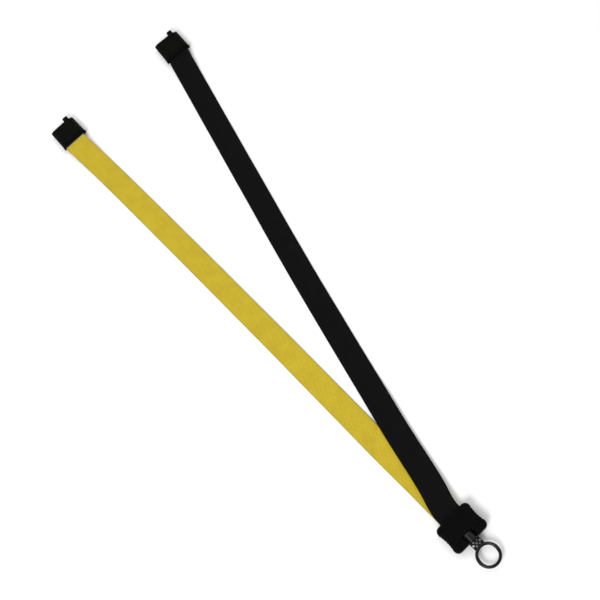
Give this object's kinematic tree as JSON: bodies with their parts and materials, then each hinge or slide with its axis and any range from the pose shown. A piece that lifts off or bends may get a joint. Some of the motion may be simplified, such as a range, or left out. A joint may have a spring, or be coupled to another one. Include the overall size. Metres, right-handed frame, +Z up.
{
  "type": "twin webbing tether",
  "caption": "Two flat webbing straps from one moulded grip block, each ending in a coupling clip, with a swivelling ring on a lattice neck.",
  "frame": {"origin": "centre of the grip block's flat back face, on the surface that the object lies on", "axes": "+Y from the block along the straps, the ring towards -Y; +Z up out of the block's front face; +X to the side that the black strap fans out to"},
  "size_m": [0.1841, 0.6541, 0.0124],
  "materials": {
    "block_plastic": "fine moulded texture, slightly rubbed on the edges",
    "ring_plastic": "smooth moulded nylon with a soft shine",
    "clip_plastic": "fine moulded texture",
    "black_webbing": "plain woven ribbed webbing",
    "yellow_webbing": "plain woven ribbed webbing",
    "steel": "zinc-plated",
    "washer_nylon": "natural nylon"
  },
  "bodies": {
    "block": {"block_base": "block_plastic", "block_cover": "block_plastic", "block_screws": "steel", "strap_pins": "steel", "swivel_washer": "washer_nylon", "black_strap_end": "black_webbing", "yellow_strap_end": "yellow_webbing"},
    "ring": {"ring_swivel": "ring_plastic"},
    "black_strap": {"black_strap": "black_webbing"},
    "black_clip": {"black_strap_tip": "black_webbing", "black_clip_base": "clip_plastic", "black_clip_cover": "clip_plastic", "black_clip_clamp_bar": "steel", "black_clip_peg": "clip_plastic", "black_clip_latch_spring": "steel", "black_clip_screws": "steel"},
    "yellow_strap": {"yellow_strap": "yellow_webbing"},
    "yellow_clip": {"yellow_strap_tip": "yellow_webbing", "yellow_clip_base": "clip_plastic", "yellow_clip_cover": "clip_plastic", "yellow_clip_clamp_bar": "steel", "yellow_clip_peg": "clip_plastic", "yellow_clip_latch_spring": "steel", "yellow_clip_screws": "steel"}
  },
  "joints": [
    {"name": "ring_turn", "type": "hinge", "parent": "block", "child": "ring", "pos_m": [0, -0.015, 0.0062], "axis": [0, 1, 0], "continuous": true},
    {"name": "black_strap_fold", "type": "hinge", "parent": "block", "child": "black_strap", "pos_m": [0.0005, 0.01725, 0.0072], "axis": [1, 0, 0], "range_deg": [0, 80]},
    {"name": "black_clip_fold", "type": "hinge", "parent": "black_strap", "child": "black_clip", "pos_m": [0.14677, 0.56476, 0.0045], "axis": [0.9945, -0.1045, 0], "range_deg": [-80, 80]},
    {"name": "yellow_strap_fold", "type": "hinge", "parent": "block", "child": "yellow_strap", "pos_m": [0.0005, 0.01725, 0.0052], "axis": [1, 0, 0], "range_deg": [-80, 0]},
    {"name": "yellow_clip_fold", "type": "hinge", "parent": "yellow_strap", "child": "yellow_clip", "pos_m": [0.00142, 0.57575, 0.0045], "axis": [0.9994, -0.0349, 0], "range_deg": [-80, 80]}
  ]
}
